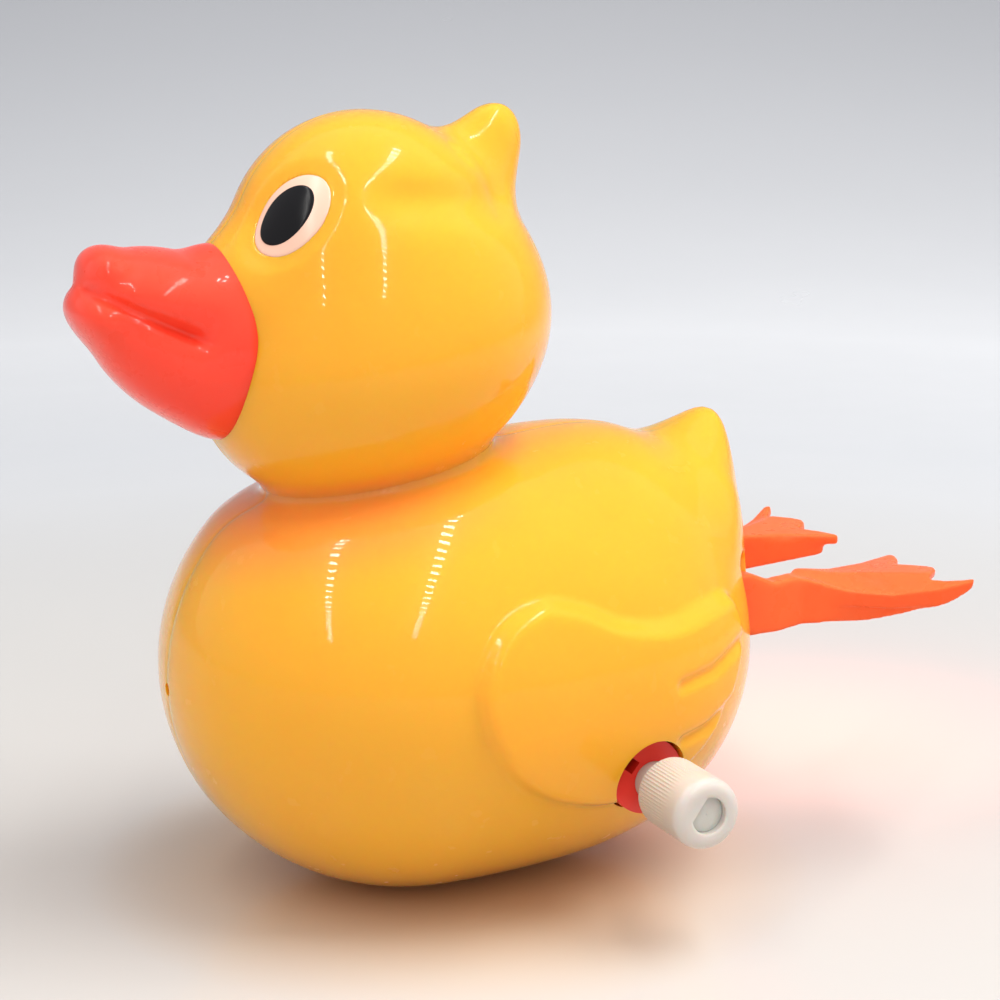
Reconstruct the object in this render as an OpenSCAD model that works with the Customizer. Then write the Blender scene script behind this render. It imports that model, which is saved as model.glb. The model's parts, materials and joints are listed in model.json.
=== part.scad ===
// Wind-up swimming duck: two body halves, two head halves, a beak plug, inset eyes,
// a clockwork motor in its own case, and two webbed feet that kick in turn.
// Millimetres. +X is the beak end, +Y the duck's left (the key side), +Z up.
// The origin is the middle of the flat the duck rests on.

/* [Shells] */
// Wall of the body and head mouldings
wall = 1.8; // [1.5:0.1:2.2]
// How far the wing stands out from the side of the body
wing_rise = 1.7; // [0:0.1:2.2]
// Width of the soft edge around the wing
wing_edge = 2.6; // [1.5:0.1:4]
// Cells across one half of the body skin
body_cells = 32; // [20:2:44]
// Cells across one half of the head skin
head_cells = 26; // [18:2:40]

/* [Neck] */
// Forward lean of the joint between head and body, degrees
neck_lean = 11; // [6:1:14]
// Gap that shows as the dark line round the neck
neck_gap = 0.2; // [0.1:0.05:0.4]
// Radius of the spigot under the head
spigot_r = 10; // [8:0.5:11]

/* [Winding] */
// Radius of the knurled key
key_r = 4.1; // [3.6:0.1:4.5]
// Length of the knurled key
key_len = 9.4; // [8:0.2:11]
// Radius of the winding arbor
arbor_r = 2.3; // [2:0.1:2.4]
// Radius of the hole in the body for the key
key_hole_r = 4.8; // [4.8:0.1:5.5]

/* [Feet] */
// Throw of the crank pins
crank_r = 2.4; // [2:0.1:2.6]
// Crank pin radius
crank_pin_r = 0.8; // [0.7:0.05:0.9]
// Play between crank pin and slot, which takes up the swing of the pin
slot_play = 0.55; // [0.5:0.05:0.7]
// Thickness of the leg plate
leg_t = 3; // [2.6:0.1:3.2]
// Distance of the leg from the middle of the duck
leg_y = 13.5; // [13.2:0.1:14]
// Height of the slots in the body that the legs swing in
leg_slot_h = 13.8; // [13.4:0.1:15]
// Thickness of the webbed foot
web_t = 1.3; // [1:0.1:1.8]

/* [Motor] */
// Gear module
gear_m = 0.5; // [0.5]
// Half width of the motor case
case_y = 8.5; // [8.5:0.1:8.8]
// Wall of the motor case
case_wall = 1.2; // [1:0.1:1.3]
// Play cut from each flank of a gear tooth
tooth_play = 0.06; // [0.04:0.01:0.1]
// Turns of the mainspring
spring_turns = 5; // [4:1:6]

/* [Hidden] */
$fn = 48;
yellow = [1, 0.82, 0.2];
orange = [0.98, 0.38, 0.16];
steel = [0.75, 0.76, 0.78];
red = [0.75, 0.16, 0.12];

// A rounded form is a list of egg-shaped lumps that melt into each other:
// [centre, radii, forward pitch in degrees, blend with the lumps before it].
BODY = [
    [[6, 0, 27.2], [29.5, 29.5, 27.5], 0, 0],         // breast
    [[-13.5, 0, 27.5], [24.5, 26.5, 25.8], -8, 9],    // rump
    [[-18, 0, 38.3], [17, 17, 14.2], 0, 7],           // back
    [[-29.5, 0, 42.5], [6, 13.5, 9.6], -22, 5],       // root of the tail
    [[-32.6, 0, 47.2], [3.4, 5.5, 8.2], -22, 5]];     // tip of the tail
HEAD = [
    [[9.5, 0, 65.5], [22, 20.5, 17], 27, 0],          // cheeks
    [[10.5, 0, 76.5], [16, 16, 16], 0, 7],            // crown
    [[-3.5, 0, 85.4], [4.7, 4.3, 8.3], -28, 5],       // tuft
    [[24, 0, 72], [8, 9, 7], 20, 4]];                 // brow over the beak
BEAK = [
    [[28.5, 0, 66.7], [6.6, 10.8, 11.1], 5, 0],       // root
    [[34.4, 0, 65.8], [11.4, 9.4, 6.5], -42, 3],      // lower bill
    [[34, 0, 71.8], [10.2, 10.2, 5.5], -14, 1.5],     // upper bill
    [[41.5, 0, 75.4], [2.4, 6, 2.5], -10, 1.8],       // turned-up tip
    [[42.4, 0, 70.3], [3.2, 7, 2.5], -35, 2.5]];      // lower lip
// Outline of the wing in the side view, [x, z]
WING = [[9.5, 30], [6.5, 37], [0.5, 40], [-5, 39], [-10, 36.8], [-16, 36], [-22, 37],
    [-26.5, 37.2], [-28.8, 33.5], [-28.3, 28.5], [-25.5, 22.5], [-20.5, 17], [-12, 13.5],
    [-4.5, 14.2], [2.5, 17.5], [7.5, 23]];
// Points inside each form from which every part of its skin is in sight
body_heart = [-2, 0, 30];
head_heart = [9, 0, 70];
beak_heart = [33, 0, 68];
neck_at = [9.6, 0, 50.9];
tenon_r = 5;
tenon_at = [22, 0, 67];
eye_at = [22.75, 9.3, 81.5];
eye_size = [4, 5.3];
pupil_size = [2.7, 3.95];
pupil_shift = [-0.3, -0.3];
drain_at = [38, 0, 26.3];
drain_r = 0.8;

// Axes that run across the duck, as [x, z]
arbor_at = [-14.6, 16.4];
crank_at = [-14, 33];
pivot_at = [-27, 33];
main_z = 34;
idler_z = 28;
crank_z = 26;
pinion_z = 9;
governor_z = 8;
function pitch_r(z) = gear_m * z / 2;
// The idler sits where both its meshes are at the right distance
mesh_ai = pitch_r(main_z) + pitch_r(pinion_z);
mesh_ic = pitch_r(idler_z) + pitch_r(pinion_z);
ac = crank_at - arbor_at;
along = (mesh_ai * mesh_ai - mesh_ic * mesh_ic + ac * ac) / (2 * norm(ac));
across = sqrt(mesh_ai * mesh_ai - along * along);
idler_at = arbor_at + along * ac / norm(ac) + across * [ac.y, -ac.x] / norm(ac);
governor_dir = 110;
governor_at = crank_at
    + (pitch_r(crank_z) + pitch_r(governor_z)) * [cos(governor_dir), sin(governor_dir)];
key_y0 = 29.9;
boss_r = 4.5;
// The boss and the hole it shows through stand a little ahead of the arbor and over it
boss_at = arbor_at + [0.8, 0.7];
boss_y = 26;
slot_dir = 38;
flat_dir = 35;
shaft_r = 1;
axle_r = 0.8;
running = 0.05;
reach_arm = crank_at.x - pivot_at.x;
case_outline = [[-25.4, 10], [-18.8, 6], [-4, 6], [0, 10], [3.2, 20], [3.2, 35], [-4, 41],
    [-10, 47], [-24, 47], [-31, 40], [-31, 22], [-25.4, 17]];
screws = [[0.6, 33], [-24.3, 42.5], [-4.2, 9.8], [-28.2, 23.8]];

// ---- rounded forms ----------------------------------------------------------
// Distance from p to one lump, exact enough near its skin
function lump_d(p, l) =
    let (q = p - l[0], c = cos(l[2]), s = sin(l[2]),
        t = [c * q.x - s * q.z, q.y, s * q.x + c * q.z],
        a = [t.x / l[1].x, t.y / l[1].y, t.z / l[1].z],
        k = norm(a), g = norm([a.x / l[1].x, a.y / l[1].y, a.z / l[1].z]))
    k * (k - 1) / max(g, 0.0001);
// Lesser of a and b with the corner melted over a width k
function melt(a, b, k) = let (h = max(k - abs(a - b), 0) / k) min(a, b) - h * h * k / 4;
function form_d(p, form, i = 0, d = 1000) =
    i == len(form) ? d
    : form_d(p, form, i + 1,
        i == 0 ? lump_d(p, form[0]) : melt(d, lump_d(p, form[i]), form[i][3]));
// How far the skin is from the heart in one direction, by halving
function skin_r(form, heart, dir, lo = 0, hi = 64, n = 16) =
    n == 0 ? (lo + hi) / 2
    : let (mid = (lo + hi) / 2)
        form_d(heart + mid * dir, form) < 0
            ? skin_r(form, heart, dir, mid, hi, n - 1)
            : skin_r(form, heart, dir, lo, mid, n - 1);
function seg_d(p, a, b) =
    let (t = max(0, min(1, ((p - a) * (b - a)) / ((b - a) * (b - a))))) norm(p - a - t * (b - a));
function crossings(p, o) = len([for (i = [0:len(o) - 1])
    let (a = o[i], b = o[(i + 1) % len(o)])
        if ((a.y > p.y) != (b.y > p.y)
            && p.x < a.x + (b.x - a.x) * (p.y - a.y) / (b.y - a.y)) 1]);
// Height of the wing over the body at a place in the side view
function wing_h(p) =
    crossings(p, WING) % 2 == 0 ? 0
    : let (d = min([for (i = [0:len(WING) - 1]) seg_d(p, WING[i], WING[(i + 1) % len(WING)])]),
        s = min(1, d / wing_edge))
    wing_rise * s * s * (3 - 2 * s);
// Directions over the half space +Y: a square grid bent over a quarter turn each way,
// so the cells stay even and the rim lies in the plane y = 0
function cell_dir(i, j, n) =
    let (a = 2 * i / n - 1, b = 2 * j / n - 1, r = max(abs(a), abs(b)),
        turn = r == 0 ? 0
            : abs(a) >= abs(b) ? (a > 0 ? 45 * b / a : 180 + 45 * b / a)
            : (b > 0 ? 90 - 45 * a / b : 270 - 45 * a / b))
    [sin(90 * r) * cos(turn), cos(90 * r), sin(90 * r) * sin(turn)];
// Walk round the rim of the grid
function rim(n) = concat([for (i = [0:n - 1]) i * (n + 1)],
    [for (j = [0:n - 1]) n * (n + 1) + j],
    [for (i = [0:n - 1]) (n - i) * (n + 1) + n], [for (j = [0:n - 1]) n - j]);
// The +Y half of a form; grow moves the skin out, winged adds the wing
module half_form(form, heart, n, grow = 0, winged = false) {
    skin = [for (i = [0:n]) for (j = [0:n])
        let (d = cell_dir(i, j, n), p = heart + skin_r(form, heart, d) * d)
            p + (grow + (winged ? wing_h([p.x, p.z]) : 0)) * d];
    edge = rim(n);
    polyhedron(points = concat(skin, [heart]), faces = concat(
        [for (i = [0:n - 1]) for (j = [0:n - 1]) let (k = i * (n + 1) + j)
            each [[k, k + n + 1, k + n + 2], [k, k + n + 2, k + 1]]],
        [for (i = [0:len(edge) - 1]) [edge[(i + 1) % len(edge)], edge[i], len(skin)]]));
}
module both_sides() {
    children();
    mirror([0, 1, 0]) children();
}
module left_or_right(left) {
    if (left) children();
    else mirror([0, 1, 0]) children();
}
// Everything above, or below, the leaning plane of the neck
module at_neck() { translate(neck_at) rotate([0, neck_lean, 0]) children(); }
module over_neck(h) { at_neck() translate([-70, -70, h]) cube([140, 140, 90]); }
module under_neck(h) { at_neck() translate([-70, -70, h - 90]) cube([140, 140, 90]); }
// A bar that runs across the duck from y0 to y1 at a place in the side view
module across_bar(at, r, y0, y1) {
    translate([at.x, y1, at.y]) rotate([90, 0, 0]) cylinder(r = r, h = y1 - y0);
}
// A flat shape drawn in the side view, between y0 and y1
module across_plate(y0, y1) {
    translate([0, y1, 0]) rotate([90, 0, 0]) linear_extrude(y1 - y0) children();
}
// Frame of the left eye: x across the oval, y along it, z out of the head
module at_eye() {
    out = [0.74, 0.57, 0.36] / norm([0.74, 0.57, 0.36]);
    up0 = [-0.6, 0.3, 0.75];
    up = (up0 - (up0 * out) * out) / norm(up0 - (up0 * out) * out);
    side = cross(up, out);
    multmatrix([[side.x, up.x, out.x, eye_at.x], [side.y, up.y, out.y, eye_at.y],
        [side.z, up.z, out.z, eye_at.z], [0, 0, 0, 1]]) children();
}
module oval(size, h0, h1, shift = [0, 0]) {
    at_eye() translate([shift.x, shift.y, h0]) scale([size.x, size.y, 1])
        cylinder(r = 1, h = h1 - h0, $fn = 40);
}

// ---- shells -----------------------------------------------------------------
module leg_slot() {
    hull() for (z = [-1, 1])
        translate([-46, leg_y, pivot_at.y - 0.35 + z * (leg_slot_h / 2 - 2.3)])
            rotate([0, 90, 0]) cylinder(r = leg_t / 2 + 0.8, h = 18, $fn = 24);
}
// Posts inside the body that hold the motor case by its sides
module case_posts() {
    for (at = [[-4.2, 13.5], [-14, 43.4]]) across_bar(at, 2, case_y + running, 40);
}
module body_half(left) {
    color(yellow) resize([0, 0, 0]) difference() {
        union() {
            difference() {
                half_form(BODY, body_heart, body_cells, winged = true);
                translate([0, -0.01, 0]) difference() {
                    half_form(BODY, body_heart, 16, grow = -wall);
                    over_neck(-wall - neck_gap / 2);
                }
            }
            intersection() {
                half_form(BODY, body_heart, 16, grow = -wall / 2);
                case_posts();
            }
        }
        over_neck(-neck_gap / 2);
        at_neck() translate([0, 0, -20]) cylinder(r = spigot_r + 0.2, h = 30);
        // the flat it rests on
        translate([-80, -80, -20]) cube([160, 160, 20]);
        leg_slot();
        if (left) across_bar(boss_at, key_hole_r, 10, 40);
        translate([drain_at.x - 6, 0, drain_at.z]) rotate([0, 90, 0]) cylinder(r = drain_r, h = 12, $fn = 24);
    }
}
module body_shell_left() { body_half(true); }
module body_shell_right() { mirror([0, 1, 0]) body_half(false); }
module head_half() {
    color(yellow) resize([0, 0, 0]) difference() {
        union() {
            difference() {
                half_form(HEAD, head_heart, head_cells);
                under_neck(neck_gap / 2);
                translate([0, -0.01, 0]) difference() {
                    half_form(HEAD, head_heart, 14, grow = -wall);
                    under_neck(neck_gap / 2 + wall);
                }
            }
            intersection() {
                at_neck() translate([0, 0, -5]) cylinder(r = spigot_r, h = 6);
                translate([-40, 0, 0]) cube([80, 40, 80]);
            }
        }
        at_neck() translate([0, 0, -6]) cylinder(r = spigot_r - wall, h = 12);
        translate(tenon_at) rotate([0, 90, 0]) cylinder(r = tenon_r + 0.1, h = 20);
        oval(eye_size + [0.03, 0.03], -4, 4);
    }
}
module head_shell_left() { head_half(); }
module head_shell_right() { mirror([0, 1, 0]) head_half(); }
module beak() {
    color(orange) resize([0, 0, 0]) union() {
        difference() {
            both_sides() half_form(BEAK, beak_heart, 20);
            both_sides() translate([0, -0.01, 0])
                half_form(HEAD, head_heart, head_cells, grow = 0.05);
        }
        translate(tenon_at + [2, 0, 0]) rotate([0, 90, 0]) cylinder(r = tenon_r, h = 9);
    }
}
// The white of the eye is a chip of the head form, a little proud of the skin
module eye(left) {
    left_or_right(left) color([0.98, 0.93, 0.88]) resize([0, 0, 0]) difference() {
            intersection() {
                half_form(HEAD, head_heart, head_cells, grow = -0.15);
                oval(eye_size, -3, 4);
            }
            half_form(HEAD, head_heart, head_cells, grow = -wall);
            oval(pupil_size + [0.03, 0.03], -4, 4, pupil_shift);
        }
}
module pupil(left) {
    left_or_right(left) color([0.06, 0.05, 0.05]) resize([0, 0, 0]) difference() {
            intersection() {
                half_form(HEAD, head_heart, head_cells, grow = 0.05);
                oval(pupil_size, -3, 4, pupil_shift);
            }
            half_form(HEAD, head_heart, head_cells, grow = -wall);
        }
}
module eye_left() { eye(true); }
module eye_right() { eye(false); }
module pupil_left() { pupil(true); }
module pupil_right() { pupil(false); }

// ---- feet -------------------------------------------------------------------
// Side view of a leg: slotted arm, eye, plate through the body, keel under the foot
module leg_side() {
    px = pivot_at.x;
    pz = pivot_at.y;
    difference() {
        polygon([[px + reach_arm + 5, pz + 1.6], [px + reach_arm + 3.6, pz + 3],
            [px + 3, pz + 3.3], [px - 4, pz + 3.8], [px - 7, pz + 3.5], [px - 10.2, pz + 2.2],
            [px - 13.4, pz + 2.6], [px - 33, pz + 2.6], [px - 32.2, pz + 1.3],
            [px - 29, pz - 0.9], [px - 26, pz - 2.2], [px - 23.4, pz - 2.9], [px - 21, pz - 3.2],
            [px - 17.6, pz - 3.2], [px - 14, pz - 3.5], [px - 10.5, pz - 4.1], [px - 6, pz - 4.2],
            [px - 2.5, pz - 3.6],
            [px + reach_arm + 3.6, pz - 3], [px + reach_arm + 5, pz - 1.6]]);
        hull() for (x = [-1, 1])
            translate([crank_at.x + x * (crank_r + 0.4), pz]) circle(r = crank_pin_r + slot_play);
    }
}
// Plan of the leg: straight plate, then the keel bends out to the outer toe
module leg_plan() {
    in = leg_y - leg_t / 2;
    out = leg_y + leg_t / 2;
    polygon([[0, in], [0, out], [-41, out], [-45, out + 2], [-50, out + 4.4],
        [-54.6, out + 6.9], [-59.2, out + 10], [-59.8, out + 9.2], [-54, out + 3.6],
        [-48, in + 2.8], [-42, in]]);
}
// Plan of the web with its three toes
module web_plan() {
    polygon([[-40.5, 12.2], [-42.5, 10.2], [-47.5, 10.2], [-53, 9], [-58, 6.6], [-59.4, 6],
        [-59.9, 6.7], [-58.8, 9.2], [-56.8, 11.8], [-59.4, 14.7], [-59.8, 15.9], [-59, 17.4],
        [-56.2, 19.9], [-58.8, 23], [-59.8, 24.2], [-59.2, 25], [-54.6, 21.9], [-50, 19.4],
        [-45, 17], [-41, 15]]);
}
// Rib under the web, from the ankle to the inner toe
module toe_rib() {
    hull() {
        translate([-42, leg_y, 29.8]) cylinder(r = 1.3, h = 5);
        translate([-57.5, 8, 32.9]) cylinder(r = 0.8, h = 2);
    }
}
module leg(left) {
    left_or_right(left) color(orange) difference() {
        union() {
            intersection() {
                across_plate(0, 30) leg_side();
                translate([0, 0, 20]) linear_extrude(24) leg_plan();
            }
            translate([0, 0, pivot_at.y + 2.6 - web_t]) linear_extrude(web_t) web_plan();
            toe_rib();
        }
        across_bar(pivot_at, shaft_r + running, 0, 30);
    }
}
module leg_left() { leg(true); }
module leg_right() { leg(false); }

// ---- winding side -----------------------------------------------------------
// A round with one flat, for the end of the arbor
module d_round(r, flat) {
    intersection() {
        circle(r = r);
        rotate(flat_dir) translate([-r - 1 + flat - r, -r - 1]) square([2 * r + 1, 2 * r + 2]);
    }
}
module winding_key() {
    color([0.95, 0.94, 0.9]) difference() {
        intersection() {
            across_plate(key_y0, key_y0 + key_len) translate(arbor_at)
                polygon([for (i = [0:71]) (key_r - (i % 2) * 0.12) * [cos(i * 5), sin(i * 5)]]);
            translate([arbor_at.x, key_y0 + key_len, arbor_at.y]) rotate([90, 0, 0])
                rotate_extrude() polygon([[0, 0], [key_r - 0.9, 0], [key_r + 0.2, 1.1],
                    [key_r + 0.2, key_len - 0.5], [key_r - 0.3, key_len], [0, key_len]]);
        }
        across_plate(key_y0 - 1, key_y0 + key_len + 1) translate(arbor_at) d_round(2.12, 1.42);
    }
}
module winding_arbor() {
    color([0.9, 0.88, 0.84]) union() {
        across_bar(arbor_at, 1.2, -case_y + 0.2, -6.9);
        across_bar(arbor_at, arbor_r, -7, key_y0 - 0.02);
        across_plate(key_y0 - 0.1, key_y0 + key_len - 0.8) translate(arbor_at) d_round(2.1, 1.4);
    }
}
ratchet_y = [0.9, 2.1];
module ratchet_wheel() {
    color(steel) across_plate(ratchet_y[0], ratchet_y[1]) translate(arbor_at) difference() {
        polygon([for (i = [0:11]) each [4.3 * [cos(i * 30), sin(i * 30)],
            3.4 * [cos(i * 30 + 2), sin(i * 30 + 2)]]]);
        circle(r = arbor_r + 0.01);
    }
}
// The pawl rides on the face of the main gear, lifted clear as when the key is turned
module ratchet_pawl() {
    color(steel) across_plate(ratchet_y[0] - 0.35, ratchet_y[1]) translate(arbor_at) hull() {
        translate([6.2, 1.2]) circle(r = 1.1);
        translate([5.2, -2.9]) circle(r = 0.4);
    }
}
module mainspring() {
    n = spring_turns * 24;
    step = 5.3 / n;
    color([0.35, 0.38, 0.45]) across_plate(-6.8, -1.8) translate(arbor_at) polygon(concat(
        [for (i = [0:n]) (2.8 + step * i) * [cos(i * 15), sin(i * 15)]],
        [for (i = [n:-1:0]) (3.15 + step * i) * [cos(i * 15), sin(i * 15)]]));
}

// ---- wheels -----------------------------------------------------------------
function inv(a) = tan(a) * 180 / PI - a;
// Half the angle a tooth fills at radius r
function tooth_half(z, r) =
    let (rp = pitch_r(z), rb = rp * cos(20))
    90 / z - tooth_play / rp * 180 / PI + inv(20) - (r > rb ? inv(acos(rb / r)) : 0);
function flank(z) =
    let (rp = pitch_r(z), rb = rp * cos(20), root = rp - 1.2 * gear_m, tip = rp + 0.8 * gear_m,
        low = max(rb, root))
    concat([[root, tooth_half(z, low) * (root < rb ? 0.8 : 1.05)]],
        [for (k = [0:4]) let (r = low + (tip - low) * k / 4) [r, tooth_half(z, r)]]);
module gear_2d(z, phase) {
    f = flank(z);
    n = len(f);
    polygon([for (i = [0:z - 1]) let (c = phase + 360 * i / z)
        each concat([for (k = [0:n - 1]) f[k][0] * [cos(c - f[k][1]), sin(c - f[k][1])]],
            [for (k = [n - 1:-1:0]) f[k][0] * [cos(c + f[k][1]), sin(c + f[k][1])]])]);
}
function dir_of(a, b) = atan2(b.y - a.y, b.x - a.x);
// A tooth of the driver points along the line of centres, a gap of the driven meets it
function driver(a, b) = dir_of(a, b);
function driven(a, b, z) = dir_of(a, b) + 180 + 180 / z;
module main_gear() {
    color([0.93, 0.9, 0.82]) across_plate(-1.3, 0.5) translate(arbor_at) difference() {
        gear_2d(main_z, driven(idler_at, arbor_at, main_z));
        circle(r = arbor_r + running);
    }
}
module idler_gear() {
    color([0.93, 0.9, 0.82]) difference() {
        union() {
            across_plate(-1.6, 0.7) translate(idler_at) gear_2d(pinion_z, driver(idler_at, arbor_at));
            across_bar(idler_at, 1.5, 0.6, 3.3);
            across_plate(3.2, 4.8) translate(idler_at)
                gear_2d(idler_z, driven(crank_at, idler_at, idler_z));
        }
        across_bar(idler_at, axle_r + running, -3, 6);
    }
}
module crank_gear() {
    color([0.93, 0.9, 0.82]) difference() {
        union() {
            across_plate(2.9, 5.1) translate(crank_at) gear_2d(pinion_z, driver(crank_at, idler_at));
            across_bar(crank_at, 1.6, -4.2, 3);
            across_plate(-5.5, -4.1) translate(crank_at)
                gear_2d(crank_z, driver(crank_at, governor_at));
        }
        across_bar(crank_at, shaft_r + 0.01, -7, 7);
    }
}
module governor_wheel() {
    color([0.6, 0.5, 0.25]) difference() {
        union() {
            across_plate(-5.7, -3.9) translate(governor_at)
                gear_2d(governor_z, driven(crank_at, governor_at, governor_z));
            across_bar(governor_at, 4.3, -4, -1);
        }
        across_bar(governor_at, axle_r + running, -7, 0);
    }
}
module idler_axle() { color(steel) across_bar(idler_at, axle_r, -case_y + 0.2, case_y - 0.2); }
module governor_axle() { color(steel) across_bar(governor_at, axle_r, -case_y + 0.2, case_y - 0.2); }
module crank_shaft() { color(steel) across_bar(crank_at, shaft_r, -11.2, 11.2); }
// Crank disc with its pin; the two pins stand half a turn apart
module crank_disc(left) {
    pin = crank_at + [left ? crank_r : -crank_r, 0];
    left_or_right(left) color([0.93, 0.9, 0.82]) difference() {
        union() {
            across_bar(crank_at, 4, 9.3, 11.3);
            across_bar(pin, crank_pin_r, 11.2, leg_y + leg_t / 2 + 0.4);
        }
        across_bar(crank_at, shaft_r + 0.01, 9, 12);
    }
}
module crank_disc_left() { crank_disc(true); }
module crank_disc_right() { crank_disc(false); }

// ---- motor case -------------------------------------------------------------
// An outline moved inward by w
function inset(o, w) = [for (i = [0:len(o) - 1])
    let (a = o[(i + len(o) - 1) % len(o)], b = o[i], c = o[(i + 1) % len(o)],
        u = (b - a) / norm(b - a), v = (c - b) / norm(c - b),
        nu = [-u.y, u.x], nv = [-v.y, v.x])
    b + w * (nu + nv) / (1 + nu * nv)];
module case_half(left) {
    left_or_right(left) color(red) difference() {
        union() {
            difference() {
                across_plate(0.01, case_y) polygon(case_outline);
                across_plate(-1, case_y - case_wall) polygon(inset(case_outline, case_wall));
            }
            intersection() {
                across_plate(0.01, case_y) polygon(case_outline);
                for (s = screws) across_bar(s, 2, 0.01, case_y);
            }
            if (left) across_bar(boss_at, boss_r, case_y - 0.5, boss_y);
        }
        if (left) {
            across_bar(arbor_at, arbor_r + running, 0, 30);
            for (k = [0:2]) translate([arbor_at.x, boss_y, arbor_at.y])
                rotate([0, -slot_dir - 120 * k, 0]) translate([2.9, -5, -0.8]) cube([4, 6, 1.6]);
        } else across_bar(arbor_at, 1.2 + running, 0, 30);
        across_bar(idler_at, axle_r + 0.01, 0, 30);
        across_bar(governor_at, axle_r + 0.01, 0, 30);
        across_bar(crank_at, shaft_r + running, 0, 30);
        across_bar(pivot_at, shaft_r + 0.01, 0, 30);
        for (s = screws) {
            across_bar(s, left ? 0.92 : 1.1, -1, 30);
            if (!left) across_bar(s, 1.9, case_y - 1.1, 30);
        }
    }
}
module motor_case_left() { case_half(true); }
module motor_case_right() { case_half(false); }
module case_screw(at) {
    color(steel) difference() {
        union() {
            across_bar(at, 0.9, -case_y + 1, 6.5);
            across_bar(at, 1.8, -case_y + 0.1, -case_y + 1.1);
        }
        translate([at.x - 0.2, -case_y, at.y - 1.1]) cube([0.4, 0.6, 2.2]);
        translate([at.x - 1.1, -case_y, at.y - 0.2]) cube([2.2, 0.6, 0.4]);
    }
}
module case_screw_front() { case_screw(screws[0]); }
module case_screw_top() { case_screw(screws[1]); }
module case_screw_low() { case_screw(screws[2]); }
module case_screw_rear() { case_screw(screws[3]); }

// ---- leg pivot --------------------------------------------------------------
pin_end = leg_y + leg_t / 2 + 1.6;
module leg_pivot_pin() { color(steel) across_bar(pivot_at, shaft_r, -pin_end, pin_end); }
module pivot_ring(left, y0, y1, r, bore) {
    left_or_right(left) difference() {
        across_bar(pivot_at, r, y0, y1);
        across_bar(pivot_at, bore, y0 - 1, y1 + 1);
    }
}
module pivot_spacer(left) {
    color([0.93, 0.9, 0.82])
        pivot_ring(left, case_y + 0.02, leg_y - leg_t / 2 - 0.1, 2.2, shaft_r + 0.01);
}
module pivot_cap(left) {
    color(steel) pivot_ring(left, leg_y + leg_t / 2 + 0.1, pin_end - 0.3, 2.4, shaft_r + 0.01);
}
module pivot_spacer_left() { pivot_spacer(true); }
module pivot_spacer_right() { pivot_spacer(false); }
module pivot_cap_left() { pivot_cap(true); }
module pivot_cap_right() { pivot_cap(false); }

body_shell_left();
body_shell_right();
head_shell_left();
head_shell_right();
beak();
eye_left();
eye_right();
pupil_left();
pupil_right();
leg_left();
leg_right();
winding_key();
winding_arbor();
ratchet_wheel();
ratchet_pawl();
mainspring();
main_gear();
idler_gear();
idler_axle();
crank_gear();
crank_shaft();
crank_disc_left();
crank_disc_right();
governor_wheel();
governor_axle();
motor_case_left();
motor_case_right();
case_screw_front();
case_screw_top();
case_screw_low();
case_screw_rear();
leg_pivot_pin();
pivot_spacer_left();
pivot_spacer_right();
pivot_cap_left();
pivot_cap_right();
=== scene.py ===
"""Looks of a wind-up swimming duck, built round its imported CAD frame.

The duck's rounded forms are the same egg-shaped lumps as in part.scad, melted into each
other, here skinned finely enough to show soft edges, the eye sockets, the wing's feather
grooves and the mouth. Lengths in the shape code are millimetres; MM turns them to metres.
"""
import json
import math

import bmesh
import bpy
import numpy as np
from mathutils import Matrix, Vector

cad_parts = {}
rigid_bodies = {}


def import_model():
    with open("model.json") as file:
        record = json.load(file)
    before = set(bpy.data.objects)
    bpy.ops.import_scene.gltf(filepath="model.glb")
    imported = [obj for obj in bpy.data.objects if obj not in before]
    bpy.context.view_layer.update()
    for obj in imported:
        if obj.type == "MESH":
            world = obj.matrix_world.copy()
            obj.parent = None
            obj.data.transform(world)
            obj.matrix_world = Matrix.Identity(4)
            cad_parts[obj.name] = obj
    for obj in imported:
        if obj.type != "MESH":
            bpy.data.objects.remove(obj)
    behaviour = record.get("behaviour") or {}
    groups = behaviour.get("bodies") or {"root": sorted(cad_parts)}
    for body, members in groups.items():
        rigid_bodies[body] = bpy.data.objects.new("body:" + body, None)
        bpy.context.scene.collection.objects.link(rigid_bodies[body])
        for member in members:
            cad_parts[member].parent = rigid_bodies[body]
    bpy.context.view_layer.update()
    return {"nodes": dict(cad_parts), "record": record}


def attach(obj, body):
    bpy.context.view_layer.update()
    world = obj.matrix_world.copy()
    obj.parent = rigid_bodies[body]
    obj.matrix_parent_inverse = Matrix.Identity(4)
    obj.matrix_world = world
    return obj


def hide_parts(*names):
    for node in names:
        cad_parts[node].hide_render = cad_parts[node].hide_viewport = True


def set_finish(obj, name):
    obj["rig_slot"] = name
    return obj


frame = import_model()
MM = 0.001

# ---- forms, as in part.scad: (centre, radii, forward pitch in degrees, blend) ----
BODY = [((6, 0, 27.2), (29.5, 29.5, 27.5), 0, 0),
        ((-13.5, 0, 27.5), (24.5, 26.5, 25.8), -8, 9),
        ((-18, 0, 38.3), (17, 17, 14.2), 0, 7),
        ((-29.5, 0, 42.5), (6, 13.5, 9.6), -22, 5),
        ((-32.6, 0, 47.2), (3.4, 5.5, 8.2), -22, 5)]
HEAD = [((9.5, 0, 65.5), (22, 20.5, 17), 27, 0),
        ((10.5, 0, 76.5), (16, 16, 16), 0, 7),
        ((-3.5, 0, 85.4), (4.7, 4.3, 8.3), -28, 5),
        ((24, 0, 72), (8, 9, 7), 20, 4)]
BEAK = [((28.5, 0, 66.7), (6.6, 10.8, 11.1), 5, 0),
        ((34.4, 0, 65.8), (11.4, 9.4, 6.5), -42, 3),
        ((34, 0, 71.8), (10.2, 10.2, 5.5), -14, 1.5),
        ((41.5, 0, 75.4), (2.4, 6, 2.5), -10, 1.8),
        ((42.4, 0, 70.3), (3.2, 7, 2.5), -35, 2.5)]
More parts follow.
